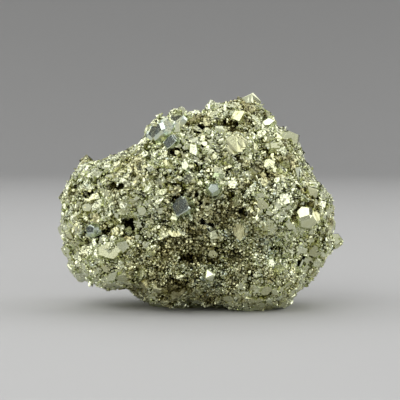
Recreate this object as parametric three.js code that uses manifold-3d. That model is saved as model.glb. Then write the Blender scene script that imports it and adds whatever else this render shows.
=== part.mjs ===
// Pyrite specimen: a hand-sized lump of granular pyrite, one solid of intergrown crystals.
// Millimetres, +Z up. +X runs along the width, and -Y is the showy side.
// The origin is on the face that the lump rests on, under the middle of its box.
import * as THREE from 'three';
import { ConvexGeometry } from 'three/addons/geometries/ConvexGeometry.js';
import { MeshSurfaceSampler } from 'three/addons/math/MeshSurfaceSampler.js';
import { SimplexNoise } from 'three/addons/math/SimplexNoise.js';
import { mergeVertices } from 'three/addons/utils/BufferGeometryUtils.js';
import Module from 'manifold-3d';

const { lerp, degToRad, seededRandom } = THREE.MathUtils;
const wasm = await Module();
wasm.setup();

// Driving dimensions of the lump
const CORE_HALF_WIDTH = 38;
const CORE_HALF_HEIGHT = 28;
const CORE_HALF_DEPTH = 21;
const CENTRE_HEIGHT = 27;

// Form of the core: how far it stays inside the outline, how boxy it is,
// and how soon the outline's bumps fade away from the rim
const CORE_INSET = 1.1;
const CORE_BOXINESS = 0.78;
const RIM_FADE = 3;
const CORE_DETAIL = 5;
const LUMP_DETAIL = 1;
const ROUGHNESS = 0.9;
const ROUGHNESS_WAVE = 9;

// Crystals that cover the lump, by half size
const SEED = 11;
const CRYSTAL_COUNT = 180;
const CANDIDATES = 30;
const SMALLEST = 2.8;
const LARGEST = 4.4;
const SIZE_SKEW = 1.5;
const SINK = 0.64;
const FOOT_CLEARANCE = 2;

// A box larger than the lump, for the flat cut under it
const CUT_SIZE = 200;
const FULL_TURN = 360;

// Silhouette seen from the front, as [x, z], anticlockwise from the lower right
const OUTLINE = [
  [23, 0], [30, 5], [35, 10.5], [36.5, 14], [35.5, 16.5], [38.5, 19], [38.5, 23], [37.5, 28],
  [35.5, 33], [33.5, 36.5], [30, 40.5], [30, 44], [27, 49], [24.5, 50.3], [21.5, 52],
  [18.5, 55], [16, 58.5], [13.5, 59.5], [11, 58.5], [8, 57.2], [4, 57], [1, 55.5], [-2.5, 53],
  [-5, 55], [-8, 55], [-11.5, 53.5], [-15, 50], [-18.5, 45.5], [-20.5, 43.7], [-24.5, 42.7],
  [-30, 41.3], [-33, 39.7], [-37, 36.5], [-38.5, 32.5], [-39.8, 26], [-40, 22], [-38.5, 16],
  [-38, 12], [-36, 8.5], [-34, 6.5], [-27, 4.6], [-21.5, 4.3], [-18, 0.5], [0, -1.5], [16, -1.5],
];

// Swellings fused to the core
const LUMPS = [
  { centre: [-9, -6, 47.8], radii: [5.2, 8, 5.4] },
  { centre: [13, -2, 52.5], radii: [5, 8, 5.6] },
  { centre: [22.5, -5, 43], radii: [5.6, 11, 6.2] },
  { centre: [29.5, -2, 28], radii: [6, 13, 9] },
  { centre: [13.5, -11, 9.8], radii: [15.5, 13.5, 10.4] },
  { centre: [3, -10.5, 9.8], radii: [10, 13, 8.8] },
  { centre: [18.4, -12.5, 28.5], radii: [13.5, 11.5, 11.5] },
  { centre: [6.3, -8.5, 43.5], radii: [12.5, 11.5, 8.5] },
  { centre: [-14, -10.5, 32.5], radii: [15, 13, 11.5] },
  { centre: [-31, -4, 22.5], radii: [7, 13, 11] },
  { centre: [-23, -9.5, 14], radii: [12, 13, 8.6] },
  { centre: [-8, -13, 10.2], radii: [11, 12, 8] },
  { centre: [-20, 11, 24], radii: [15, 13, 15] },
  { centre: [16, 11, 30], radii: [17, 13.5, 15] },
  { centre: [1, 12, 11], radii: [20, 13, 12.5] },
  { centre: [5, 6, 46], radii: [14, 11, 8.5] },
];

// Large crystals of the front: place in the front view, habit, half size, turn in degrees
const SHOW_CRYSTALS = [
  { at: [-11.5, 49.9], habit: 'pyritohedron', size: 3.2, turn: [20, 35, -25] },
  { at: [-6, 52.6], habit: 'pyritohedron', size: 2.9, turn: [10, 60, 40] },
  { at: [-7.6, 46.2], habit: 'cube', size: 2.2, turn: [35, 30, 20] },
  { at: [-4.2, 29.5], habit: 'pyritohedron', size: 2.5, turn: [0, 15, 10] },
  { at: [3.5, 33.4], habit: 'cube', size: 2, turn: [12, 8, 48] },
  { at: [29.5, 26.8], habit: 'pyritohedron', size: 3.5, turn: [-20, 40, 15] },
  { at: [-24, 17.8], habit: 'cube', size: 3.6, turn: [25, 15, 30] },
  { at: [-6.8, 22.4], habit: 'octahedron', size: 2.2, turn: [30, 20, 0] },
  { at: [2.6, 10.9], habit: 'octahedron', size: 2.8, turn: [10, 25, 20] },
  { at: [10.1, 45.6], habit: 'pyritohedron', size: 3, turn: [40, 10, 30] },
  { at: [19, 51.8], habit: 'cube', size: 2.6, turn: [30, 25, 35] },
  { at: [33.5, 18.8], habit: 'octahedron', size: 5.2, turn: [25, 8, 6] },
  { at: [26.8, 37.8], habit: 'pyritohedron', size: 2.2, turn: [5, 40, 20] },
  { at: [-29, 22.2], habit: 'pyritohedron', size: 2.4, turn: [15, 10, 0] },
];

// Angular pits of the front, by place in the front view and half size
const PITS = [
  { at: [-19, 23.8], size: 2 },
  { at: [-0.4, 50], size: 1.8 },
  { at: [1.8, 23.7], size: 2.1 },
  { at: [-6.6, 43.9], size: 1.7 },
  { at: [28.2, 13.3], size: 1.6 },
  { at: [-15.1, 6], size: 1.8 },
  { at: [10.2, 41.5], size: 1.5 },
  { at: [6.3, 52.2], size: 1.7 },
];

seededRandom(SEED);
const random = () => seededRandom();
const noise = new SimplexNoise({ random });

// The outline as angles and reaches from the middle of the front view, closed on itself
const TURN = 2 * Math.PI;
const POLAR = OUTLINE.map(([x, z]) => ({
  angle: Math.atan2(z - CENTRE_HEIGHT, x),
  reach: Math.hypot(x, z - CENTRE_HEIGHT),
})).sort((a, b) => a.angle - b.angle);
POLAR.push({ angle: POLAR[0].angle + TURN, reach: POLAR[0].reach });

function outlineReach(angle) {
  const from = angle < POLAR[0].angle ? angle + TURN : angle;
  const next = Math.max(1, POLAR.findIndex((point) => point.angle >= from));
  const before = POLAR[next - 1];
  const after = POLAR[next];
  return lerp(before.reach, after.reach, (from - before.angle) / (after.angle - before.angle));
}

function ellipseReach(angle) {
  return 1 / Math.hypot(Math.cos(angle) / CORE_HALF_WIDTH, Math.sin(angle) / CORE_HALF_HEIGHT);
}

// Moves each vertex of a geometry to where place(vertex) puts it, then roughens it
function shaped(geometry, place) {
  const position = geometry.getAttribute('position');
  const vertex = new THREE.Vector3();
  for (let i = 0; i < position.count; i++) {
    place(vertex.fromBufferAttribute(position, i));
    const { x, y, z } = vertex.clone().divideScalar(ROUGHNESS_WAVE);
    const swell = 1 + (ROUGHNESS * noise.noise3d(x, y, z)) / CORE_HALF_HEIGHT;
    position.setXYZ(i, vertex.x * swell, vertex.y * swell, lerp(CENTRE_HEIGHT, vertex.z, swell));
  }
  return geometry;
}

// The core: a boxy ball whose rim follows the outline
function coreGeometry() {
  return shaped(new THREE.IcosahedronGeometry(1, CORE_DETAIL), (vertex) => {
    const angle = Math.atan2(vertex.z, vertex.x);
    const rim = Math.hypot(vertex.x, vertex.z);
    const reach = lerp(ellipseReach(angle), outlineReach(angle), rim ** RIM_FADE) - CORE_INSET;
    const out = reach * rim ** CORE_BOXINESS;
    const depth = CORE_HALF_DEPTH * Math.sign(vertex.y) * Math.abs(vertex.y) ** CORE_BOXINESS;
    vertex.set(out * Math.cos(angle), depth, CENTRE_HEIGHT + out * Math.sin(angle));
  });
}

function lumpGeometry({ centre, radii }) {
  return shaped(new THREE.IcosahedronGeometry(1, LUMP_DETAIL), (vertex) => {
    vertex.multiply(new THREE.Vector3(...radii)).add(new THREE.Vector3(...centre));
  });
}

// Pyrite's three habits, at half size 1
const CUBE_SIDE = 1.6;
const OCTAHEDRON_REACH = 1.2;
const PYRITOHEDRON_LONG = 1.5;
const PYRITOHEDRON_SHORT = 0.75;

function pyritohedronGeometry() {
  const points = [];
  for (const a of [-1, 1]) {
    for (const b of [-1, 1]) {
      const long = a * PYRITOHEDRON_LONG;
      const short = b * PYRITOHEDRON_SHORT;
      points.push([0, long, short], [short, 0, long], [long, short, 0], [a, b, 1], [a, b, -1]);
    }
  }
  const unit = 1 / PYRITOHEDRON_LONG;
  return new ConvexGeometry(points.map((p) => new THREE.Vector3(...p).multiplyScalar(unit)));
}

const HABITS = {
  cube: () => new THREE.BoxGeometry(CUBE_SIDE, CUBE_SIDE, CUBE_SIDE),
  octahedron: () => new THREE.OctahedronGeometry(OCTAHEDRON_REACH),
  pyritohedron: pyritohedronGeometry,
};
const HABIT_NAMES = ['cube', 'cube', 'pyritohedron', 'octahedron'];

// A closed mesh as a solid, with vertices shared between faces
function toSolid(geometry) {
  const bare = new THREE.BufferGeometry();
  bare.setAttribute('position', geometry.getAttribute('position'));
  bare.setIndex(geometry.index);
  const merged = mergeVertices(bare);
  const vertProperties = merged.getAttribute('position').array;
  const triVerts = new Uint32Array(merged.index.array);
  return new wasm.Manifold(new wasm.Mesh({ numProp: 3, vertProperties, triVerts }));
}

function toGeometry(solid) {
  const { vertProperties, triVerts } = solid.getMesh();
  const geometry = new THREE.BufferGeometry();
  geometry.setAttribute('position', new THREE.BufferAttribute(vertProperties, 3));
  geometry.setIndex(new THREE.BufferAttribute(triVerts, 1));
  return geometry;
}

function crystal(habit, size, centre, turn) {
  const scale = new THREE.Vector3(size, size, size);
  const place = new THREE.Matrix4().compose(centre, turn, scale);
  return toSolid(HABITS[habit]().applyMatrix4(place));
}

// Where a line of sight from the front meets the lump
function frontPoint(target, [x, z]) {
  const ray = new THREE.Raycaster(new THREE.Vector3(x, -CUT_SIZE, z), new THREE.Vector3(0, 1, 0));
  const hit = ray.intersectObject(target)[0];
  if (!hit) throw new Error(`nothing at ${x}, ${z} in the front view`);
  return hit.point;
}

function turnOf(degrees) {
  return new THREE.Quaternion().setFromEuler(new THREE.Euler(...degrees.map(degToRad)));
}

function randomTurn() {
  return turnOf([random(), random(), random()].map((share) => share * FULL_TURN));
}

function showCrystals(target) {
  return SHOW_CRYSTALS.map(({ at, habit, size, turn }) =>
    crystal(habit, size, frontPoint(target, at), turnOf(turn)));
}

function pits(target) {
  return PITS.map(({ at, size }) =>
    crystal('octahedron', size, frontPoint(target, at), randomTurn()));
}

// Crystals spread evenly over the whole lump: each new one takes the barest of a few places
function crustCrystals(target, taken) {
  const sampler = new MeshSurfaceSampler(target).setRandomGenerator(random).build();
  const places = [...taken];
  return Array.from({ length: CRYSTAL_COUNT }, () => {
    const candidates = Array.from({ length: CANDIDATES }, () => {
      const point = new THREE.Vector3();
      const normal = new THREE.Vector3();
      sampler.sample(point, normal);
      const nearest = Math.min(...places.map((other) => other.distanceTo(point)));
      return { point, normal, room: point.z > FOOT_CLEARANCE ? nearest : 0 };
    });
    const { point, normal } = candidates.reduce((best, next) => (next.room > best.room ? next : best));
    places.push(point);
    const size = lerp(SMALLEST, LARGEST, random() ** SIZE_SKEW);
    const habit = HABIT_NAMES[Math.floor(random() * HABIT_NAMES.length)];
    return crystal(habit, size, point.clone().addScaledVector(normal, -SINK * size), randomTurn());
  });
}

function specimen() {
  const forms = [coreGeometry(), ...LUMPS.map(lumpGeometry)];
  const lump = wasm.Manifold.union(forms.map(toSolid));
  const target = new THREE.Mesh(toGeometry(lump));
  const taken = SHOW_CRYSTALS.map(({ at }) => frontPoint(target, at));
  const crusted = wasm.Manifold.union([lump, ...showCrystals(target), ...crustCrystals(target, taken)]);
  const pitted = crusted.subtract(wasm.Manifold.union(pits(target)));
  const above = new THREE.BoxGeometry(CUT_SIZE, CUT_SIZE, CUT_SIZE).translate(0, 0, CUT_SIZE / 2);
  const geometry = toGeometry(pitted.intersect(toSolid(above)));
  geometry.computeBoundingBox();
  const middle = geometry.boundingBox.getCenter(new THREE.Vector3());
  return geometry.translate(-middle.x, -middle.y, 0);
}

const pyrite = new THREE.MeshStandardMaterial({ color: 0xb3a773, metalness: 1, roughness: 0.35 });
const mesh = new THREE.Mesh(specimen(), pyrite);
mesh.name = 'pyrite_specimen';

const group = new THREE.Group();
group.add(mesh);
export default group;
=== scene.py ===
"""Looks of the pyrite specimen: a brassy lump of intergrown crystals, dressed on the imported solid."""
import math

import bmesh
import bpy
import numpy as np
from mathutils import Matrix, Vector, noise
from mathutils.bvhtree import BVHTree
from mathutils.kdtree import KDTree


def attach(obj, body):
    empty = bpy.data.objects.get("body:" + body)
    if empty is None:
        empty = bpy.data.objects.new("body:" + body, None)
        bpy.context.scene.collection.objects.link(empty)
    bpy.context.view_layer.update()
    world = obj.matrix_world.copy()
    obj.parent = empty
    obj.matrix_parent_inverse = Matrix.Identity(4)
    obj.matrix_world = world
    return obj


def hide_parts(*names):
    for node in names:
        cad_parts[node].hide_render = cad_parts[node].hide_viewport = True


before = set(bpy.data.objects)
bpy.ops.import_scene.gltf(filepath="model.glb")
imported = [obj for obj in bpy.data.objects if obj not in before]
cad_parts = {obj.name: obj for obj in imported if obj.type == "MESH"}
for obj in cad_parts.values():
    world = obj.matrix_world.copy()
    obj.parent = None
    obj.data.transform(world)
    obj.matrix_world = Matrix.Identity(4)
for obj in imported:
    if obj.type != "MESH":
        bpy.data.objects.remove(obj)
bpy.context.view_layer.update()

MM = 0.001
SEED = 7
NODE = "pyrite_specimen"

# The lump under the grains: the cell of an even mesh of the solid, and smoothing steps of its surface and
# of the larger form that its knobs and hollows are measured from
CELL = 0.95 * MM
LIGHT_STEPS = 2
HEAVY_STEPS = 22

# How far knobs and hollows are drawn out, wave and height of the clusters added to them, how deep the lump
# lies under the solid, how far its points slide along it, and the heights below which a point is of its
# foot, before and after that is flat
RELIEF_BOOST = 0.7
CLUSTERS = ((3.5 * MM, 0.5 * MM), (9.0 * MM, 0.8 * MM))
INSET = 0.3 * MM
SLIDE = 0.3 * MM
FOOT = 0.7 * MM
ON_FLOOR = FOOT / 10

# Blocks of the lump, and crystals of the crust on them, each a facet of many grains: grains to a facet,
# for crystals in the middle of the front and at its margins, how far a facet leans, how flat it is, how
# far it may stand off the lump, the spread of its tone, and the deepest gap between blocks
BLOCK_GRAINS = 40
BLOCKS = dict(lean=0.28, flat=0.8, reach=0.9 * MM, spread=0.1)
BLOCK_GAP = 1.3 * MM
CRYSTAL_GRAINS = (3, 16)
CRYSTALS = dict(lean=0.35, flat=0.75, reach=0.6 * MM, spread=0.16)

# Roughness of a facet from and to, how much less it is at the margins, and the least
FACET_ROUGH = (0.3, 1.0)
MARGIN_CALM = 0.6
LEAST_ROUGH = 0.05

# Grains of the crust: depth of the grooves in a crystal and between crystals, the depth at which a groove's
# painted shade is black, rise and lean of the grains, the share with flat tops and how much of a grain such
# a top spans, how far tips slide along the lump, and the least that a flat top faces outward
GROOVE_INSIDE = 0.25 * MM
GROOVE_BETWEEN = (0.15 * MM, 0.55 * MM)
GROOVE_SHADE_DEPTH = 0.3 * MM
RISE = 0.25 * MM
LEAN = 0.25
FLAT_SHARE = 0.25
FLAT_SPAN = (0.6, 0.9)
TIP_SLIDE = 0.25 * MM
STEEPEST = 0.5

# Hollows, which get painted shade: the depths in mm at which it starts and is darkest, and how dark that is
DEEP = (0.5, 1.8)
DEEP_SHADE = 0.95

# What changes from the middle of the front to its margins: the front view's middle and half sizes in mm,
# the shares of those between which it changes, the depths between which the front ends and the back's own
# share, and the wave and share of patches
MIDDLE = (1.5, 17.0)
HALF_VIEW = (37.0, 31.0)
MARGIN_SPAN = (0.15, 0.85)
BEHIND = (-4 * MM, 6 * MM)
BEHIND_SHARE = 0.6
MARGIN_WAVE = 9 * MM
MARGIN_PATCHES = 0.35

# The smooth belt at the outline, with a painted rim highlight: where it starts and is full, by how far the
# surface still faces front or back, how much calmer it is than the rest and how much paler it is painted
BELT = (0.42, 0.12)
BELT_CALM = 0.65
RIM_HIGHLIGHT_TONE = 0.15

# Tone of a grain: in the middle of the front, what the margins add to it, partly tarnish and partly painted
# light, what patches add, what a mm of height adds, partly tarnish and partly painted shade in hollows, the
# wave of the patches, its least and most, and its spread from grain to grain and crystal to crystal
BASE_TONE = 0.38
MARGIN_TONE_AND_LIGHT = 0.36
PATCH_TONE = 0.36
RELIEF_TONE_AND_SHADE = 0.25
TONE_WAVE = 7 * MM
TONE_SPAN = (0.02, 0.8)
GRAIN_SPREAD = 0.1
CRYSTAL_SPREAD = 0.15

# Lighter and darker patches of the front, painted light and shade with some of the lump's own tone: place in
# the front view and reach in mm, shift of the tone
LIGHT_AND_TONE_PATCHES = [
    ((9.7, 43.7), 6.0, 0.40),
    ((-1.0, 43.5), 6.0, 0.20),
    ((3.0, 37.0), 5.0, 0.20),
    ((-10.5, 28.2), 6.0, 0.30),
    ((9.7, 19.5), 6.0, 0.40),
    ((17.0, 16.7), 5.0, 0.20),
    ((23.0, 17.5), 6.0, 0.45),
    ((3.0, 10.5), 5.0, 0.25),
    ((-24.0, 17.0), 4.5, 0.20),
    ((-30.8, 37.0), 4.0, 0.20),
    ((-6.5, 5.0), 6.0, -0.45),
    ((9.5, 3.4), 5.0, -0.25),
    ((0.0, 52.0), 4.5, -0.40),
    ((12.0, 57.0), 6.0, -0.35),
    ((20.5, 43.5), 6.0, -0.28),
    ((-34.0, 20.0), 4.0, -0.25),
    ((16.4, 37.5), 4.0, -0.20),
    ((-14.0, 10.0), 5.0, -0.10),
    ((-18.5, 40.0), 5.0, -0.35),
    ((-17.5, 4.0), 5.0, -0.40),
]

# Shares of its reach at which a patch starts and is full, and the depths at which patches do
LIGHT_PATCH_FADE = (1.3, 0.3)
LIGHT_PATCH_FRONT = (4 * MM, -4 * MM)

# How far the outlines of pits and crevices wander in mm, the waves that they wander by, the shares of the
# half width at which they start and are full, and how far to the back a surface that has them may face
PIT_WARP = 0.9
PIT_WAVES = (1.6 * MM, 1.9 * MM)
CREVICE_FADE = (1.3, 0.4)
CARVE_BACK = 0.5

# Crevices and pits of the front: from and to in the front view, half width and depth, in mm
CREVICES = [
    ((-19.4, 24.4), (-18.6, 23.2), 1.25, 3.0),
    ((1.5, 51.0), (8.5, 51.2), 1.2, 0.8),
    ((-0.6, 50.0), (-0.2, 49.6), 1.0, 2.6),
    ((-6.6, 53.4), (-5.4, 53.0), 0.6, 1.2),
    ((1.2, 24.3), (2.4, 23.0), 1.3, 2.6),
    ((-7.6, 43.6), (-5.6, 44.3), 0.6, 1.8),
    ((28.0, 13.6), (28.6, 13.0), 0.9, 2.2),
    ((-15.4, 6.3), (-14.8, 5.8), 1.1, 2.4),
    ((9.9, 41.3), (10.7, 41.9), 0.6, 1.8),
    ((6.2, 52.8), (6.8, 51.8), 0.6, 1.2),
    ((9.0, 51.4), (9.8, 51.0), 0.6, 1.2),
    ((3.0, 59.0), (8.4, 59.2), 2.4, 1.7),
    ((21.4, 53.9), (22.6, 53.3), 1.6, 1.5),
    ((32.0, 30.6), (33.2, 30.9), 0.9, 2.0),
    ((-7.7, 31.2), (-1.2, 32.2), 0.7, 1.5),
    ((-0.8, 31.8), (0.2, 28.8), 0.6, 1.4),
    ((-4.4, 14.9), (3.5, 14.6), 0.9, 1.7),
    ((17.6, 16.0), (22.6, 15.2), 0.6, 1.3),
    ((-24.4, 34.2), (-21.0, 34.8), 0.9, 1.8),
    ((-8.2, 9.6), (-7.2, 9.0), 1.0, 1.8),
    ((10.6, 28.6), (12.0, 26.6), 0.8, 1.6),
    ((27.2, 34.4), (30.4, 31.2), 0.8, 1.6),
]

# Heights over the lump in mm at which a crystal and a chip are black with painted shade and fully lit
CRYSTAL_SHADE_HEIGHTS = (-1.3, -0.3)
CHIP_SHADE_HEIGHTS = (-0.3, 0.3)

# Scattered crystals by class: half size from and to in mm, tries, room, depth sunk, lean, crystals grown
# beside each, roughness, heights of their painted shade
SCATTER = {
    "large_crystals": dict(
        half=(1.2, 2.2), tries=700, room=1.1, sink=(0.7, 0.9), lean=0.35, copies=1, rough=0.05,
        shade_heights=CRYSTAL_SHADE_HEIGHTS),
    "small_crystals": dict(
        half=(0.8, 1.9), tries=4500, room=0.8, sink=(0.45, 0.7), lean=0.3, copies=0, rough=0.12,
        shade_heights=CRYSTAL_SHADE_HEIGHTS),
    "fine_chips": dict(
        half=(0.25, 0.55), tries=60000, room=0.62, sink=(0.35, 0.75), lean=0.5, copies=0, rough=0.7,
        shade_heights=CHIP_SHADE_HEIGHTS),
}

# The lowest relief in mm that carries one, the depths between which large ones grow from none to their
# full share, how far sizes keep to the small end, and the stretch along each axis
DEEPEST = -0.6
FRONT_FREE = (-12 * MM, 4 * MM)
SIZE_SKEW = 1.6
STRETCH = (0.7, 1.35)

# Crystals grown beside another: their size, and the least and most shift, as shares of its own size
COPY_SIZE = (0.5, 0.8)
COPY_SHIFT = ((-0.7, -0.7, -0.2), (0.7, 0.7, 0.25))

# The cell of the grid that keeps crystals apart, and how far crystals stay off the floor
GRID = 1.5 * MM
FLOOR_GAP = 0.05 * MM

# Where a face of a large crystal points: at the dark room, the front panel or the key light
DIM = (-0.49, -0.86, 0.13)
PALE = (0.00, -0.98, 0.18)
WHITE = (-0.24, -0.885, 0.40)

# Large crystals of the front: place in the front view in mm, habit, half sizes in mm, where a face
# points, spin in degrees, tone, the share of the size that is sunk, and crystals grown beside it
SHOW_CRYSTALS = [
    ((-11.6, 49.0), "worn_crystal", (4.6, 3.6, 3.2), DIM, 35, 0.96, 0.60, 0),
    ((-6.2, 52.4), "worn_crystal", (3.4, 2.6, 2.4), (-0.05, -0.80, 0.60), 50, 0.9, 0.60, 0),
    ((-6.6, 50.2), "cut_cube", (1.7, 2.2, 1.8), PALE, 5, 0.75, 0.40, 1),
    ((-7.7, 46.2), "cut_cube", (2.2, 1.6, 1.6), DIM, 35, 1.00, 0.25, 1),
    ((-4.6, 28.9), "cut_cube", (3.0, 2.5, 2.6), DIM, 25, 1.00, 0.35, 1),
    ((3.8, 33.7), "pyritohedron", (2.0, 1.9, 1.9), PALE, 30, 1.3, 0.05, 0),
    ((1.8, 23.6), "shard", (0.9, 0.9, 0.9), WHITE, 0, 1.0, 0.00, 0),
    ((-6.9, 21.8), "shard", (1.5, 1.3, 1.4), WHITE, 10, 0.35, 0.10, 2),
    ((10.8, 21.8), "shard", (2.2, 2.1, 2.0), PALE, 0, 0.27, 0.15, 3),
    ((28.4, 26.6), "worn_crystal", (3.6, 3.8, 3.0), WHITE, 15, 0.62, 0.35, 0),
    ((31.0, 26.2), "shard", (1.6, 1.8, 1.6), (0.20, -0.95, 0.10), 40, 0.38, -0.20, 0),
    ((30.0, 23.8), "shard", (1.7, 1.4, 1.5), (0.05, -0.97, 0.25), 70, 0.50, -0.10, 0),
    ((37.4, 19.6), "plate", (2.0, 2.6, 1.6), PALE, 75, 0.75, 0.55, 0),
    ((27.1, 37.5), "shard", (1.2, 2.1, 1.5), PALE, 10, 0.9, 0.25, 0),
    ((30.4, 32.6), "octahedron", (2.0, 2.2, 2.0), PALE, 60, 0.5, 0.20, 1),
    ((-30.5, 28.2), "plate", (1.8, 1.6, 1.4), PALE, 20, 0.70, 0.20, 1),
    ((-29.1, 22.3), "pyritohedron", (2.1, 2.0, 1.9), DIM, 0, 1.1, 0.25, 1),
    ((-23.8, 17.0), "plate", (4.0, 2.7, 2.2), (-0.04, -0.97, 0.23), 8, 0.60, 0.40, 2),
    ((-33.0, 9.0), "cut_cube", (2.0, 1.8, 2.0), (-0.30, -0.92, 0.20), 30, 0.80, 0.40, 1),
    ((2.7, 10.8), "octahedron", (1.9, 1.9, 1.8), WHITE, 40, 0.8, 0.20, 0),
    ((10.0, 45.7), "shard", (2.6, 2.5, 2.2), (-0.08, -0.97, 0.22), 30, 0.45, 0.30, 4),
    ((14.2, 56.9), "shard", (2.9, 2.6, 2.2), PALE, 20, 0.7, 0.50, 3),
    ((19.0, 51.3), "plate", (2.5, 1.2, 1.4), WHITE, 15, 0.9, 0.25, 0),
    ((25.4, 47.0), "plate", (2.9, 2.6, 2.0), PALE, 40, 0.65, 0.50, 1),
]

# Their roughness and room, and where the rays that find their places start, in front of the lump
SHOW_ROUGH = 0.01
SHOW_ROOM = 0.8
RAY_START = -1.0

# Pockets that they sit in: the depth as a share of the crystal's, and the shares of its half size at which
# a pocket starts and is full
POCKET = 0.35
POCKET_FADE = (1.15, 0.85)

# Habits at a half size of about 1: bevels of fresh and worn edges, the angle below which two faces are one,
# digits to which areas are compared, the cube's size and the cut of its corners, the height of the roofs
# on a pyritohedron's cube, and an octahedron's size
BEVEL = 0.13
WORN_BEVEL = 0.24
SAME_FACE = math.radians(2)
AREA_DIGITS = 3
CUBE_SIZE = 0.8
CORNER_CUT = 0.3
ROOF = 0.5
OCTAHEDRON_SIZE = 1.2

# Broken grains: the reach of a shard's points, the turn and reach of a plate's corners, and the share of
# that reach and the height of its top and bottom
SHARD_REACH = (0.85, 1.15)
PLATE_TURN = 0.3
PLATE_REACH = (0.8, 1.15)
PLATE_TOP = (0.85, 0.62)
PLATE_BOTTOM = (1.1, -0.7)

# Corners of the plates and points of the shards that small crystals have, how often a plate is taken for
# each time a shard is, points of the shards that chips have, how many of the plates chips take too, and the
# plate that the large crystals of the front take
PLATE_CORNERS = (3, 4, 4, 5, 5, 6, 6)
SHARD_POINTS = (8, 9, 10, 14)
PLATE_TIMES = 2
CHIP_POINTS = (5, 6, 6, 7)
CHIP_PLATES = 3
SHOW_PLATE = 3

# Patina, smears and micro facets, in waves to the metre, and striations, in waves to the mm, with the
# octaves of their noise
PATINA_SCALE = 500
PATINA_DETAIL = 4
SMEAR_SCALE = 1500
SMEAR_DETAIL = 2
MICRO_SCALE = 2200
STRIATION_SCALE = (3.0, 0.3, 0.3)
STRIATION_DETAIL = 2

# What patina adds to the tone and smears to the roughness, tilt of micro facets, the mean of the random
# colours that they tilt by, and height of striations
PATINA = (-0.3, 0.3)
SMEAR = (-0.04, 0.04)
MICRO_TILT = 1.6
MEAN_COLOR = (0.5, 0.5, 0.5)
STRIATION = 0.0015 * MM

# What changes from the smoothest facet to the roughest: shader roughness and the spread of shades
GRAIN_GLOSS = (0.12, 0.36)
CRYSTAL_GLOSS = (0.2, 0.36)
MOTTLE = (0.05, 0.7)

# Colours by tone, and painted shades by how open a place is to light
TONES = [
    (0.0, (0.21, 0.19, 0.085)),
    (0.2, (0.46, 0.44, 0.23)),
    (0.4, (0.62, 0.62, 0.37)),
    (0.65, (0.70, 0.725, 0.475)),
    (0.9, (0.76, 0.80, 0.58)),
    (1.0, (0.67, 0.76, 0.66)),
]
HOLLOW_SHADES = [
    (0.0, (0.035, 0.03, 0.011)),
    (0.18, (0.30, 0.28, 0.16)),
    (0.45, (1, 1, 1)),
]

# The round studio in metres: radius of the floor, bend and height of the wall, steps of the bend and of
# the round, and the distance below which points are joined
SWEEP_RADIUS = 1.0
SWEEP_BEND = 0.7
SWEEP_HEIGHT = 1.6
BEND_STEPS = 24
ROUND_STEPS = 96
WELD = 1e-5

# Its colours
FLOOR_COLOR = (0.55, 0.55, 0.545, 1)
FLOOR_ROUGH = 0.7
ROOM_COLOR = (0.05, 0.05, 0.05, 1)

# Soft boxes, which all face the heart of the lump: place and size in metres, power in watts
HEART = (0, 0, 0.03)
LIGHTS = [
    ("key", (-0.40, -0.55, 0.62), (0.75, 0.75), 3.2),
    ("right_rim", (1.24, 0.16, 0.65), (1.10, 1.20), 7.2),
    ("left_rim", (-1.28, 0.20, 0.61), (1.10, 1.20), 8.2),
    ("top", (0.05, 0.22, 0.72), (0.95, 0.60), 1.7),
    ("front", (0.50, -0.70, 0.25), (0.50, 0.50), 1.3),
    ("panel", (0.0, -1.0, 0.5), (1.4, 0.9), 2.25),
    ("back", (0.0, 0.85, 0.85), (1.4, 0.5), 2.4),
]

# The camera: pixels across the square picture and mm to the pixel at the lump, the place it looks at, how
# far it looks down, lens and sensor in mm
PICTURE_PIXELS = 400
PIXEL_MM = 0.281
AIM = (0.14 * MM, 0, 29.6 * MM)
ELEVATION = math.radians(3)
LENS = 150
SENSOR = 36

rng = np.random.default_rng(SEED)


def link(piece):
    bpy.context.scene.collection.objects.link(piece)
    return piece


def unit(vectors):
    return vectors / np.linalg.norm(vectors, axis=-1, keepdims=True)


def along(vectors, directions):
    """Each vector's length along its direction."""
    return np.sum(vectors * directions, axis=-1, keepdims=True)


def smooth_step(low, high, values):
    """0 at low, 1 at high, with a smooth change between them."""
    share = np.clip((values - low) / (high - low), 0, 1)
    return share * share * (3 - 2 * share)


def noise_field(points, wave):
    return np.array([noise.noise(point) for point in points / wave])


def front_view(points):
    """Places in the front view in mm."""
    return points[:, [0, 2]] / MM


def vertex_values(mesh, field):
    values = np.empty(len(mesh.vertices) * 3, np.float32)
    mesh.vertices.foreach_get(field, values)
    return values.reshape(-1, 3).astype(float)


def set_points(mesh, points):
    mesh.vertices.foreach_set("co", points.astype(np.float32).ravel())
    mesh.update()


def triangle_corners(mesh):
    mesh.calc_loop_triangles()
    corners = np.empty(len(mesh.loop_triangles) * 3, np.int32)
    mesh.loop_triangles.foreach_get("vertices", corners)
    return corners.reshape(-1, 3)


def add_attribute(mesh, name, values, domain="POINT"):
    attribute = mesh.attributes.new(name, "FLOAT", domain)
    attribute.data.foreach_set("value", np.asarray(values, np.float32))


def even_mesh():
    """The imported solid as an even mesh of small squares."""
    piece = link(bpy.data.objects.new("even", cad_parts[NODE].data.copy()))
    remesh = piece.modifiers.new("even", "REMESH")
    remesh.mode = "VOXEL"
    remesh.voxel_size = CELL
    mesh = bpy.data.meshes.new_from_object(piece.evaluated_get(bpy.context.evaluated_depsgraph_get()))
    bpy.data.objects.remove(piece)
    return mesh


def triangulate(mesh):
    """Cuts the mesh into triangles that are as even as they can be."""
    shape = bmesh.new()
    shape.from_mesh(mesh)
    bmesh.ops.triangulate(shape, faces=shape.faces)
    bmesh.ops.beautify_fill(shape, faces=shape.faces, edges=shape.edges)
    shape.to_mesh(mesh)
    shape.free()


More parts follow.
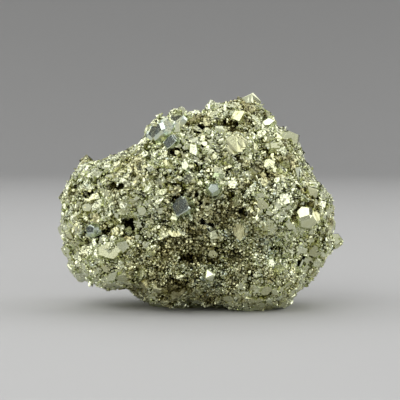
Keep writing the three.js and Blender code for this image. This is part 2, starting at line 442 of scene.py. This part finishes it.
def smoothed(mesh, points, steps):
    """Points eased halfway to the middle of their neighbours, step by step."""
    ends = np.empty(len(mesh.edges) * 2, np.int32)
    mesh.edges.foreach_get("vertices", ends)
    first, second = ends[0::2], ends[1::2]
    here, there = np.concatenate([first, second]), np.concatenate([second, first])
    share = np.bincount(here, minlength=len(points))[:, None]
    for _ in range(steps):
        sums = [np.bincount(here, points[there, axis], len(points)) for axis in range(3)]
        points = (points + np.stack(sums, axis=1) / share) / 2
    return points


def carved(points, normals):
    """How far each point is pushed in by the crevices of the front and the pockets of its crystals."""
    push = np.zeros(len(points))
    view = front_view(points)
    view += PIT_WARP * np.stack([noise_field(points, wave) for wave in PIT_WAVES], axis=1)
    outer, inner = CREVICE_FADE
    for start, end, half_width, depth in CREVICES:
        way = np.subtract(end, start)
        share = np.clip((view - start) @ way / (way @ way), 0, 1)
        gap = np.linalg.norm(view - start - share[:, None] * way, axis=1)
        push = np.maximum(push, depth * MM * smooth_step(half_width * outer, half_width * inner, gap))
    push[normals[:, 1] > CARVE_BACK] = 0
    front = normals[:, 1] < 0
    for place, _, (width, height, depth), *_ in SHOW_CRYSTALS:
        gap = np.linalg.norm((view - place) / (width, height), axis=1)
        push = np.maximum(push, POCKET * depth * MM * smooth_step(*POCKET_FADE, gap) * front)
    return push


class Facets:
    """The lump's points parted into patches, each a plane with a lean, tone and roughness of its own."""

    def __init__(self, points, normals, edge, grains, lean, flat, reach, spread):
        middles = np.flatnonzero(rng.random(len(points)) < 1 / grains)
        tree = KDTree(len(middles))
        for index, middle in enumerate(middles):
            tree.insert(points[middle], index)
        tree.balance()
        self.owner = np.array([tree.find(point)[1] for point in points])
        count = len(middles)
        self.middles = points[middles]
        self.outward = normals[middles]
        self.lean = lean * rng.uniform(-1, 1, (count, 3))
        self.lean -= self.outward * along(self.lean, self.outward)
        self.axes = unit(self.outward + self.lean)
        self.flat = flat
        self.reach = reach
        self.tone = rng.normal(0, spread, count)
        self.gap = rng.random(count) ** 2
        rough = rng.uniform(*FACET_ROUGH, count) - MARGIN_CALM * margin(self.middles)
        self.rough = (1 - BELT_CALM * edge[middles]) * np.clip(rough, LEAST_ROUGH, 1)

    def flattened(self, points):
        """The points moved towards the plane of their facet."""
        outward = self.outward[self.owner]
        offset = points - self.middles[self.owner]
        height = along(offset, outward)
        plane = -along(offset - outward * height, self.lean[self.owner])
        move = np.clip(self.flat * (plane - height), -self.reach, self.reach)
        return points + outward * move


def lump_mesh():
    """The mesh that the grains grow on, its blocks and crystals, its relief in mm, and its belt.

    The relief is below 0 in hollows, and the belt is 1 at the outline and 0 off it."""
    mesh = even_mesh()
    light = smoothed(mesh, vertex_values(mesh, "co"), LIGHT_STEPS)
    heavy = smoothed(mesh, light, HEAVY_STEPS)
    set_points(mesh, heavy)
    normals = vertex_values(mesh, "normal")
    relief = along(light - heavy, normals)[:, 0]
    relief += sum(height * noise_field(light, wave) for wave, height in CLUSTERS)
    edge = smooth_step(*BELT, np.abs(normals[:, 1]))
    push = carved(light, normals)
    blocks = Facets(light, normals, edge, BLOCK_GRAINS, **BLOCKS)
    points = blocks.flattened(light + normals * (RELIEF_BOOST * relief)[:, None])
    set_points(mesh, smoothed(mesh, points, LIGHT_STEPS))
    fine, coarse = CRYSTAL_GRAINS
    grains = fine + (coarse - fine) * margin(points)
    facets = Facets(points, vertex_values(mesh, "normal"), edge, grains, **CRYSTALS)
    points = facets.flattened(points)
    points -= normals * (INSET + push)[:, None]
    slide = rng.uniform(-SLIDE, SLIDE, points.shape)
    points += slide - normals * along(slide, normals)
    points[:, 2] = np.where(light[:, 2] < FOOT, 0, np.maximum(points[:, 2], 0))
    set_points(mesh, points)
    triangulate(mesh)
    return mesh, blocks, facets, (relief - push) / MM, edge


def light_and_tone_patches(points):
    """Shift of the tone by the lighter and darker patches of the front, painted light and shade with some of
    the lump's own tone.
    """
    shift = np.zeros(len(points))
    view = front_view(points)
    outer, inner = LIGHT_PATCH_FADE
    for place, reach, amount in LIGHT_AND_TONE_PATCHES:
        gap = np.linalg.norm(view - place, axis=1)
        shift += amount * smooth_step(reach * outer, reach * inner, gap)
    return shift * smooth_step(*LIGHT_PATCH_FRONT, points[:, 1])


def margin(points):
    """0 in the middle of the front, 1 at its margins, with the back and sides in between."""
    view = (front_view(points) - MIDDLE) / HALF_VIEW
    front = smooth_step(*MARGIN_SPAN, np.linalg.norm(view, axis=1))
    behind = smooth_step(*BEHIND, points[:, 1])
    patches = noise_field(points, MARGIN_WAVE)
    return np.clip(front * (1 - behind) + behind * BEHIND_SHARE + MARGIN_PATCHES * patches, 0, 1)


def grain_tones(points, relief, shift, spread):
    """Tarnished brown at 0, over brass and pale brass, to silvery at 1."""
    # Margins, relief and the light and tone patches: partly tarnish and tone, partly painted light and shade
    tones = BASE_TONE + MARGIN_TONE_AND_LIGHT * margin(points) + PATCH_TONE * noise_field(points, TONE_WAVE)
    tones = tones + RELIEF_TONE_AND_SHADE * relief + light_and_tone_patches(points) + shift
    return np.clip(tones + rng.normal(0, spread, len(points)), *TONE_SPAN)


def rings(triangles):
    """For each vertex, the triangles round it in order."""
    corners = triangles.tolist()
    owner, first_of = {}, {}
    for index, (a, b, c) in enumerate(corners):
        owner[a, b] = owner[b, c] = owner[c, a] = index
        first_of[a] = first_of[b] = first_of[c] = index
    for vertex in range(len(first_of)):
        ring = [first_of[vertex]]
        while True:
            a, b, c = corners[ring[-1]]
            last = c if vertex == a else a if vertex == b else b
            following = owner[vertex, last]
            if following == ring[0]:
                break
            ring.append(following)
        yield ring


def groove_depths(triangles, blocks, facets, edge, flat):
    """How deep the groove at each triangle of the lump is: shallow in a crystal, deepest between blocks."""
    owner = facets.owner[triangles]
    inside = (owner == owner[:, :1]).all(axis=1)
    shallow = GROOVE_INSIDE * facets.rough[owner[:, 0]] * rng.random(len(triangles))
    depth = np.where(inside, shallow, rng.uniform(*GROOVE_BETWEEN, len(triangles)))
    block = blocks.owner[triangles]
    gap = BLOCK_GAP * blocks.gap[block].max(axis=1)
    depth = np.where((block == block[:, :1]).all(axis=1), depth, np.maximum(depth, gap))
    depth *= 1 - BELT_CALM * edge[triangles].max(axis=1)
    depth[flat[triangles].any(axis=1)] = 0
    return depth


class Grains:
    """A grain at each point of the lump: a tip, or a flat top that leans."""

    def __init__(self, points, normals, facets, flat):
        count = len(points)
        self.points = points
        self.normals = normals
        self.rise = np.where(flat, 0, RISE * facets.rough[facets.owner] * rng.random(count))
        self.lean = unit(facets.axes[facets.owner] + LEAN * rng.uniform(-1, 1, (count, 3)))
        self.lean[flat] = normals[flat]
        slide = rng.uniform(-TIP_SLIDE, TIP_SLIDE, (count, 3))
        self.tips = points + normals * self.rise[:, None] + slide - normals * along(slide, normals)
        self.flat_topped = (rng.random(count) < FLAT_SHARE) & ~flat
        self.span = rng.uniform(*FLAT_SPAN, count)

    def flat_top(self, grain, grooves):
        """The corners of a grain's flat top, one towards each groove round it."""
        normal, lean = self.normals[grain], self.lean[grain]
        rim = (grooves - self.points[grain]) * self.span[grain]
        rim -= normal * (rim @ normal)[:, None]
        drop = rim @ lean / max(normal @ lean, STEEPEST)
        return self.points[grain] + rim + normal * (self.rise[grain] - drop)[:, None]

    def faces(self, grooves, triangles):
        """Points and faces of grooves and grains, and the grain that each grain's point and face is of."""
        spots, faces, spot_grains, face_grains = [grooves], [], [], []
        made = len(grooves)
        for grain, ring in enumerate(rings(triangles)):
            following = ring[1:] + ring[:1]
            if self.flat_topped[grain]:
                top = list(range(made, made + len(ring)))
                spots.append(self.flat_top(grain, grooves[ring]))
                faces.append(top)
                faces += zip(ring, following, top[1:] + top[:1], top)
            else:
                spots.append(self.tips[[grain]])
                faces += [(made, a, b) for a, b in zip(ring, following)]
            made += len(spots[-1])
            spot_grains += [grain] * len(spots[-1])
            face_grains += [grain] * (len(faces) - len(face_grains))
        return np.concatenate(spots), faces, spot_grains, face_grains


def crust(lump, blocks, facets, relief, edge):
    """Grains grown together: each vertex of the lump becomes a grain, parted from the next by grooves."""
    points, normals = vertex_values(lump, "co"), vertex_values(lump, "normal")
    triangles = triangle_corners(lump)
    flat = points[:, 2] < ON_FLOOR
    depth = groove_depths(triangles, blocks, facets, edge, flat)
    grooves = points[triangles].mean(axis=1) - normals[triangles].mean(axis=1) * depth[:, None]
    grains = Grains(points, normals, facets, flat)
    # Painted rim highlight at the outline, added to each block's and crystal's own tone
    shift = RIM_HIGHLIGHT_TONE * edge + blocks.tone[blocks.owner] + facets.tone[facets.owner]
    tones = grain_tones(points, relief, shift, GRAIN_SPREAD)
    rough = facets.rough[facets.owner]
    # Painted shade: grains darken in deep hollows, and grooves darken by their depth
    open_to_light = 1 - DEEP_SHADE * smooth_step(*DEEP, -relief)
    groove_light = (1 - smooth_step(0, GROOVE_SHADE_DEPTH, depth)) * open_to_light[triangles].min(axis=1)
    spots, faces, spot_grains, face_grains = grains.faces(grooves, triangles)
    spots[:, 2] = np.maximum(spots[:, 2], 0)
    mesh = bpy.data.meshes.new("grain_crust")
    mesh.from_pydata(spots, [], faces)
    # The 'height' attribute carries this painted shade, how open each place is to light
    add_attribute(mesh, "height", np.concatenate([groove_light, open_to_light[spot_grains]]))
    add_attribute(mesh, "tone", tones[face_grains], "FACE")
    add_attribute(mesh, "rough", rough[face_grains], "FACE")
    return link(bpy.data.objects.new("grain_crust", mesh))


def hull(points, bevel=0.0):
    """Vertices and triangles of the convex hull of some points, with its edges cut off by a bevel."""
    shape = bmesh.new()
    for point in points:
        shape.verts.new(point)
    made = bmesh.ops.convex_hull(shape, input=shape.verts)
    inside = [item for item in made["geom_interior"] if isinstance(item, bmesh.types.BMVert)]
    bmesh.ops.delete(shape, geom=inside, context="VERTS")
    if bevel:
        bmesh.ops.dissolve_limit(shape, angle_limit=SAME_FACE, verts=shape.verts, edges=shape.edges)
        bmesh.ops.bevel(shape, geom=shape.edges, offset=bevel, segments=1, affect="EDGES")
    bmesh.ops.triangulate(shape, faces=shape.faces)
    bmesh.ops.recalc_face_normals(shape, faces=shape.faces)
    shape.verts.index_update()
    vertices = np.array([vertex.co for vertex in shape.verts])
    triangles = np.array([[vertex.index for vertex in face.verts] for face in shape.faces])
    shape.free()
    return vertices, triangles


def in_order(triangles):
    """The triangles sorted, each from its lowest corner on: a bevel makes them in another order each run."""
    lowest = triangles.argmin(axis=1)[:, None]
    turned = np.take_along_axis(triangles, (lowest + np.arange(3)) % 3, axis=1)
    return turned[np.lexsort(turned.T)]


def face_up(shape, size=1.0):
    """The shape turned so that the face of its largest triangle points along z, at a given size."""
    vertices, triangles = shape
    a, b, c = (vertices[triangles[:, i]] for i in range(3))
    faces = np.cross(b - a, c - a)
    up = faces[np.argmax(np.linalg.norm(faces, axis=1).round(AREA_DIGITS))]
    turn = Vector(up).rotation_difference(Vector((0, 0, 1))).to_matrix()
    return vertices @ np.array(turn).T * size, in_order(triangles)


def corners(x, y, z):
    return [(a * x, b * y, c * z) for a in (-1, 1) for b in (-1, 1) for c in (-1, 1)]


def cube(bevel):
    return face_up(hull(corners(1, 1, 1), bevel), CUBE_SIZE)


def cut_cube(bevel):
    """A cube whose corners are cut off."""
    near = 1 - CORNER_CUT
    return face_up(hull(corners(near, 1, 1) + corners(1, near, 1) + corners(1, 1, near), bevel), CUBE_SIZE)


def pyritohedron(bevel):
    """Twelve five-sided faces: a cube with a roof on each side."""
    long, short = 1 + ROOF, 1 - ROOF ** 2
    roofs = [(0, a * long, b * short) for a in (-1, 1) for b in (-1, 1)]
    turned = [point[i:] + point[:i] for point in roofs for i in range(3)]
    return face_up(hull(corners(1, 1, 1) + turned, bevel), 1 / long)


def octahedron(bevel):
    tips = [(0, 0, -1), (0, 0, 1)]
    return face_up(hull([tip[i:] + tip[:i] for tip in tips for i in range(3)], bevel), OCTAHEDRON_SIZE)


def shard(count):
    """A broken grain: the hull of a few random points on a ball."""
    return face_up(hull(unit(rng.normal(size=(count, 3))) * rng.uniform(*SHARD_REACH, (count, 1))))


def plate(count):
    """A slab with an uneven outline and slanted sides."""
    turns = (np.arange(count) + rng.uniform(-PLATE_TURN, PLATE_TURN, count)) * 2 * math.pi / count
    reach = rng.uniform(*PLATE_REACH, count)
    outline = np.stack([reach * np.cos(turns), reach * np.sin(turns)], axis=1)
    sides = (PLATE_TOP, PLATE_BOTTOM)
    return hull(np.concatenate(
        [np.column_stack([outline * share, np.full(count, height)]) for share, height in sides]))


class Room:
    """Keeps crystals apart: a grid of cells, each with the crystals whose keep-out reaches it.

    In a class the largest crystals come first, so a keep-out need only reach one of the same size."""

    def __init__(self):
        self.cells = {}

    def free(self, place, half, room):
        x, y, z = place
        for a, b, c, other in self.cells.get((int(x // GRID), int(y // GRID), int(z // GRID)), ()):
            if (x - a) ** 2 + (y - b) ** 2 + (z - c) ** 2 < (room * (half + other)) ** 2:
                return False
        return True

    def take(self, place, half, room):
        reach = 2 * room * half
        spans = [range(int((value - reach) // GRID), int((value + reach) // GRID) + 1) for value in place]
        for i in spans[0]:
            for j in spans[1]:
                for k in spans[2]:
                    self.cells.setdefault((i, j, k), []).append((*place, half))


def surface_points(lump, fields, count):
    """Random places on the lump, even by area, with the normal and the value of some fields at each."""
    points, normals = vertex_values(lump, "co"), vertex_values(lump, "normal")
    triangles = triangle_corners(lump)
    a, b, c = (points[triangles[:, i]] for i in range(3))
    area = np.linalg.norm(np.cross(b - a, c - a), axis=1)
    chosen = triangles[rng.choice(len(triangles), count, p=area / area.sum())]
    u, v = np.sqrt(rng.random(count)), rng.random(count)
    weights = np.stack([1 - u, u * (1 - v), u * v], axis=1)
    places = np.einsum("nk,nkx->nx", weights, points[chosen])
    directions = np.einsum("nk,nkx->nx", weights, normals[chosen])
    return places, unit(directions), *(np.einsum("nk,nk->n", weights, field[chosen]) for field in fields)


def facing_turn(axis, side):
    """The turn that brings a shape's z axis to an axis, with its x axis near a side."""
    across = unit(np.cross(axis, side))
    return np.stack([np.cross(across, axis), across, axis], axis=1)


class Grown:
    """Crystals gathered for one joined mesh, with each one's tone and the height over the lump."""

    def __init__(self):
        self.points = []
        self.triangles = []
        self.heights = []
        self.tones = []
        self.axes = []
        self.count = 0

    def add(self, habit, half, turn, place, outward, sunk, tone, copies):
        """Adds a crystal and smaller copies that grew beside it with the same turn."""
        shape, triangles = habit
        for copy in range(copies + 1):
            size = rng.uniform(*COPY_SIZE) if copy else 1
            shift = rng.uniform(*COPY_SHIFT) if copy else np.zeros(3)
            local = (shape * size + shift) * half
            turned = local @ turn.T - outward * sunk
            self.points.append(turned + place)
            self.axes.append(local / MM)
            self.heights.append(turned @ outward / MM)
            self.tones.append(np.full(len(shape), tone))
            self.triangles.append(triangles + self.count)
            self.count += len(shape)

    def piece(self, name, rough, shade_heights):
        """The crystals as one piece, with painted shade where they sink into the lump."""
        points = np.concatenate(self.points)
        points[:, 2] = np.maximum(points[:, 2], FLOOR_GAP)
        mesh = bpy.data.meshes.new(name)
        mesh.from_pydata(points, [], np.concatenate(self.triangles).tolist())
        # The 'height' attribute carries painted shade: black inside the lump, fully lit above it
        add_attribute(mesh, "height", smooth_step(*shade_heights, np.concatenate(self.heights)))
        add_attribute(mesh, "tone", np.concatenate(self.tones))
        add_attribute(mesh, "rough", np.full(len(points), rough))
        axes = mesh.attributes.new("axes", "FLOAT_VECTOR", "POINT")
        axes.data.foreach_set("vector", np.concatenate(self.axes).astype(np.float32).ravel())
        return link(bpy.data.objects.new(name, mesh))


def scattered(name, lump, fields, habits, taken, half, tries, room, sink, lean, copies, rough, shade_heights):
    """One class of crystals, spread over the lump by the share that each place takes."""
    places, normals, reliefs, shares = surface_points(lump, fields, tries)
    halves = MM * (half[0] + (half[1] - half[0]) * rng.random(tries) ** SIZE_SKEW)
    wanted = (rng.random(tries) < shares) & (places[:, 2] > halves) & (reliefs > DEEPEST)
    axes = unit(normals + lean * rng.uniform(-1, 1, normals.shape))
    sides = rng.normal(size=normals.shape)
    tones = grain_tones(places, reliefs, 0, CRYSTAL_SPREAD)
    stretch = rng.uniform(*STRETCH, normals.shape)
    sunk = halves * rng.uniform(*sink, tries)
    chosen = rng.integers(len(habits), size=tries)
    grown = Grown()
    for i in np.argsort(-halves):
        place = places[i].tolist()
        if wanted[i] and taken.free(place, halves[i], room):
            taken.take(place, halves[i], room)
            turn = facing_turn(axes[i], sides[i])
            size = halves[i] * stretch[i]
            grown.add(habits[chosen[i]], size, turn, places[i], normals[i], sunk[i], tones[i], copies)
    return grown.piece(name, rough, shade_heights)


def heights_over(tree, points):
    """How far points stand out of the lump in mm, below 0 inside it."""
    heights = []
    for point in points:
        spot, normal, *_ = tree.find_nearest(point)
        heights.append((Vector(point) - spot).dot(normal) / MM)
    return heights


def show_crystals(lump, habits, taken):
    """The large crystals of the front, each at its own place."""
    tree = BVHTree.FromPolygons(vertex_values(lump, "co").tolist(), triangle_corners(lump).tolist())
    grown = Grown()
    for (x, z), habit, sizes, facing, spin, tone, sunk, copies in SHOW_CRYSTALS:
        hit = tree.ray_cast(Vector((x * MM, RAY_START, z * MM)), Vector((0, 1, 0)))[0]
        half = MM * np.array(sizes)
        axis = unit(np.array(facing))
        side = np.array((math.cos(math.radians(spin)), 0, math.sin(math.radians(spin))))
        taken.take(hit, half.mean(), SHOW_ROOM)
        turn = facing_turn(axis, side)
        grown.add(habits[habit], half, turn, np.array(hit), axis, sunk * half[2], tone, copies)
    # Heights over the lump, from which the crystals' painted shade is drawn
    grown.heights = [heights_over(tree, points) for points in grown.points]
    return grown.piece("show_crystals", SHOW_ROUGH, CRYSTAL_SHADE_HEIGHTS)


def new_material(name):
    material = bpy.data.materials.new(name)
    material.use_nodes = True
    nodes = material.node_tree.nodes
    return material, nodes, material.node_tree.links, nodes["Principled BSDF"]


def ramp_node(nodes, links, value, stops):
    node = nodes.new("ShaderNodeValToRGB")
    elements = node.color_ramp.elements
    while len(elements) < len(stops):
        elements.new(0.5)
    for element, (place, color) in zip(elements, stops):
        element.position = place
        element.color = (*color, 1)
    links.new(value, node.inputs["Fac"])
    return node.outputs["Color"]


def attribute_node(nodes, name):
    node = nodes.new("ShaderNodeAttribute")
    node.attribute_name = name
    return node


def noise_node(nodes, links, vector, scale, detail):
    node = nodes.new("ShaderNodeTexNoise")
    node.inputs["Scale"].default_value = scale
    node.inputs["Detail"].default_value = detail
    links.new(vector, node.inputs["Vector"])
    return node.outputs["Fac"]


def range_node(nodes, links, value, low, high):
    node = nodes.new("ShaderNodeMapRange")
    node.inputs["To Min"].default_value = low
    node.inputs["To Max"].default_value = high
    links.new(value, node.inputs["Value"])
    return node.outputs["Result"]


def math_node(nodes, links, operation, first, second):
    node = nodes.new("ShaderNodeMath")
    node.operation = operation
    links.new(first, node.inputs[0])
    links.new(second, node.inputs[1])
    return node.outputs["Value"]


def vector_node(nodes, links, operation, first, second):
    node = nodes.new("ShaderNodeVectorMath")
    node.operation = operation
    links.new(first, node.inputs[0])
    if isinstance(second, tuple):
        node.inputs[1].default_value = second
    else:
        links.new(second, node.inputs[1])
    return node


def multiply_colors(nodes, links, first, second):
    node = nodes.new("ShaderNodeMix")
    node.data_type = "RGBA"
    node.blend_type = "MULTIPLY"
    node.inputs["Factor"].default_value = 1
    links.new(first, node.inputs["A"])
    links.new(second, node.inputs["B"])
    return node.outputs["Result"]


def bump_node(nodes, links, height, distance, normal=None):
    node = nodes.new("ShaderNodeBump")
    node.inputs["Strength"].default_value = 1
    node.inputs["Distance"].default_value = distance
    links.new(height, node.inputs["Height"])
    if normal:
        links.new(normal, node.inputs["Normal"])
    return node.outputs["Normal"]


def micro_facets(nodes, links, place):
    """Cells finer than the grains: for each a height that tilts it as a whole, and a shade of its own."""
    cells = nodes.new("ShaderNodeTexVoronoi")
    cells.inputs["Scale"].default_value = MICRO_SCALE
    links.new(place, cells.inputs["Vector"])
    offset = vector_node(nodes, links, "SUBTRACT", place, cells.outputs["Position"])
    tilt = vector_node(nodes, links, "SUBTRACT", cells.outputs["Color"], MEAN_COLOR)
    height = vector_node(nodes, links, "DOT_PRODUCT", offset.outputs["Vector"], tilt.outputs["Vector"])
    split = nodes.new("ShaderNodeSeparateXYZ")
    links.new(tilt.outputs["Vector"], split.inputs["Vector"])
    return height.outputs["Value"], split.outputs["X"]


def grain_color(nodes, links, place, rough, shade):
    """Each grain's own tone, with patina and the shades of micro facets, and painted shade in grooves and
    hollows.
    """
    tone = attribute_node(nodes, "tone").outputs["Fac"]
    stain = noise_node(nodes, links, place, PATINA_SCALE, PATINA_DETAIL)
    patina = range_node(nodes, links, stain, *PATINA)
    speckle = math_node(nodes, links, "MULTIPLY", shade, range_node(nodes, links, rough, *MOTTLE))
    mixed = math_node(nodes, links, "ADD", math_node(nodes, links, "ADD", tone, patina), speckle)
    color = ramp_node(nodes, links, mixed, TONES)
    # Painted shade in grooves and hollows, read from the 'height' attribute
    hollow_shade = ramp_node(nodes, links, attribute_node(nodes, "height").outputs["Fac"], HOLLOW_SHADES)
    return multiply_colors(nodes, links, color, hollow_shade)


def striated(nodes, links, height, normal):
    """The normal with fine lines along a crystal's own axes."""
    stretch = nodes.new("ShaderNodeMapping")
    stretch.inputs["Scale"].default_value = STRIATION_SCALE
    links.new(attribute_node(nodes, "axes").outputs["Vector"], stretch.inputs["Vector"])
    lines = noise_node(nodes, links, stretch.outputs["Vector"], 1, STRIATION_DETAIL)
    return bump_node(nodes, links, lines, height, normal)


def pyrite_material(name, gloss, striation):
    """Brassy metal with a gloss of its own on each grain, micro facets, smears and striations."""
    material, nodes, links, shader = new_material(name)
    shader.inputs["Metallic"].default_value = 1
    place = nodes.new("ShaderNodeTexCoord").outputs["Object"]
    rough = attribute_node(nodes, "rough").outputs["Fac"]
    height, shade = micro_facets(nodes, links, place)
    links.new(grain_color(nodes, links, place, rough, shade), shader.inputs["Base Color"])
    sheen = range_node(nodes, links, rough, *gloss)
    smear = range_node(nodes, links, noise_node(nodes, links, place, SMEAR_SCALE, SMEAR_DETAIL), *SMEAR)
    links.new(math_node(nodes, links, "ADD", sheen, smear), shader.inputs["Roughness"])
    normal = bump_node(nodes, links, math_node(nodes, links, "MULTIPLY", height, rough), MICRO_TILT)
    if striation:
        normal = striated(nodes, links, striation, normal)
    links.new(normal, shader.inputs["Normal"])
    return material


def soft_light(name, place, size, power):
    data = bpy.data.lights.new(name, "AREA")
    data.shape = "RECTANGLE"
    data.size, data.size_y = size
    data.energy = power
    lamp = link(bpy.data.objects.new(name, data))
    lamp.location = place
    lamp.visible_camera = False
    lamp.rotation_euler = (Vector(HEART) - Vector(place)).to_track_quat("-Z", "Y").to_euler()


def wall_profile():
    """From the floor's edge round a bend and up."""
    yield SWEEP_RADIUS, 0
    for step in range(1, BEND_STEPS + 1):
        angle = math.radians(90 * step / BEND_STEPS)
        yield SWEEP_RADIUS + SWEEP_BEND * math.sin(angle), SWEEP_BEND * (1 - math.cos(angle))
    yield SWEEP_RADIUS + SWEEP_BEND, SWEEP_HEIGHT


def spun(name, profile):
    """A piece of the round studio: a profile spun about the middle."""
    mesh = bpy.data.meshes.new(name)
    shape = bmesh.new()
    edge = [shape.verts.new((x, 0, z)) for x, z in profile]
    edges = [shape.edges.new(pair) for pair in zip(edge, edge[1:])]
    bmesh.ops.spin(
        shape, geom=edge + edges, cent=(0, 0, 0), axis=(0, 0, 1), angle=2 * math.pi, steps=ROUND_STEPS)
    bmesh.ops.remove_doubles(shape, verts=shape.verts, dist=WELD)
    bmesh.ops.recalc_face_normals(shape, faces=shape.faces)
    shape.to_mesh(mesh)
    shape.free()
    for polygon in mesh.polygons:
        polygon.use_smooth = True
    return link(bpy.data.objects.new(name, mesh))


def studio():
    """A pale floor and wall, soft boxes round the lump and a dim grey room for it to mirror."""
    world = bpy.data.worlds.new("studio")
    world.use_nodes = True
    world.node_tree.nodes["Background"].inputs["Color"].default_value = ROOM_COLOR
    bpy.context.scene.world = world
    bpy.context.scene.view_settings.view_transform = "Standard"
    material, _, _, shader = new_material("pale_floor")
    shader.inputs["Base Color"].default_value = FLOOR_COLOR
    shader.inputs["Roughness"].default_value = FLOOR_ROUGH
    floor = spun("floor", [(0, 0), (SWEEP_RADIUS, 0)])
    wall = spun("wall", list(wall_profile()))
    wall.visible_glossy = False
    for backdrop in (floor, wall):
        backdrop.data.materials.append(material)
    for light in LIGHTS:
        soft_light(*light)


def camera():
    """Stands low in front, with the lump framed as in the square picture."""
    data = bpy.data.cameras.new("camera")
    data.lens = LENS
    data.sensor_width = SENSOR
    distance = PICTURE_PIXELS * PIXEL_MM * MM * data.lens / data.sensor_width
    seat = link(bpy.data.objects.new("camera", data))
    back = Vector((0, -math.cos(ELEVATION), math.sin(ELEVATION)))
    seat.location = Vector(AIM) + back * distance
    seat.rotation_euler = (-back).to_track_quat("-Z", "Y").to_euler()
    bpy.context.scene.camera = seat


def crystal_shapes():
    """The shapes of each class of scattered crystals, and the habits of the large ones of the front."""
    crystals = dict(
        cube=cube(BEVEL),
        cut_cube=cut_cube(BEVEL),
        pyritohedron=pyritohedron(BEVEL),
        octahedron=octahedron(BEVEL),
    )
    plates = [plate(count) for count in PLATE_CORNERS]
    shards = [shard(count) for count in SHARD_POINTS]
    shapes = dict(
        large_crystals=list(crystals.values()),
        small_crystals=plates * PLATE_TIMES + shards,
        fine_chips=plates[:CHIP_PLATES] + [shard(count) for count in CHIP_POINTS],
    )
    worn = pyritohedron(WORN_BEVEL)
    return shapes, dict(crystals, plate=plates[SHOW_PLATE], shard=shards[-1], worn_crystal=worn)


def crystal_shares(lump, facets, edge):
    """The share of the tries that each place of the lump takes, for each class of scattered crystals."""
    points = vertex_values(lump, "co")
    outer = margin(points)
    calm = 1 - BELT_CALM * edge
    return dict(
        large_crystals=outer * (1 - edge) * smooth_step(*FRONT_FREE, points[:, 1]),
        small_crystals=outer * calm,
        fine_chips=facets.rough[facets.owner] * calm,
    )


def dress():
    """Makes the pieces of the lump, which take the solid's place."""
    lump, blocks, facets, relief, edge = lump_mesh()
    shapes, habits = crystal_shapes()
    shares = crystal_shares(lump, facets, edge)
    grain = pyrite_material("pyrite_grains", GRAIN_GLOSS, 0)
    crystal = pyrite_material("pyrite_crystals", CRYSTAL_GLOSS, STRIATION)
    taken = Room()
    pieces = [
        (crust(lump, blocks, facets, relief, edge), grain),
        (show_crystals(lump, habits, taken), crystal),
    ]
    for name, space, material in (
        ("large_crystals", taken, crystal),
        ("small_crystals", taken, crystal),
        ("fine_chips", Room(), grain),
    ):
        piece = scattered(name, lump, (relief, shares[name]), shapes[name], space, **SCATTER[name])
        pieces.append((piece, material))
    for piece, material in pieces:
        piece.data.materials.append(material)
        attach(piece, "root")
        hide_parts(NODE)


camera()
studio()
dress()
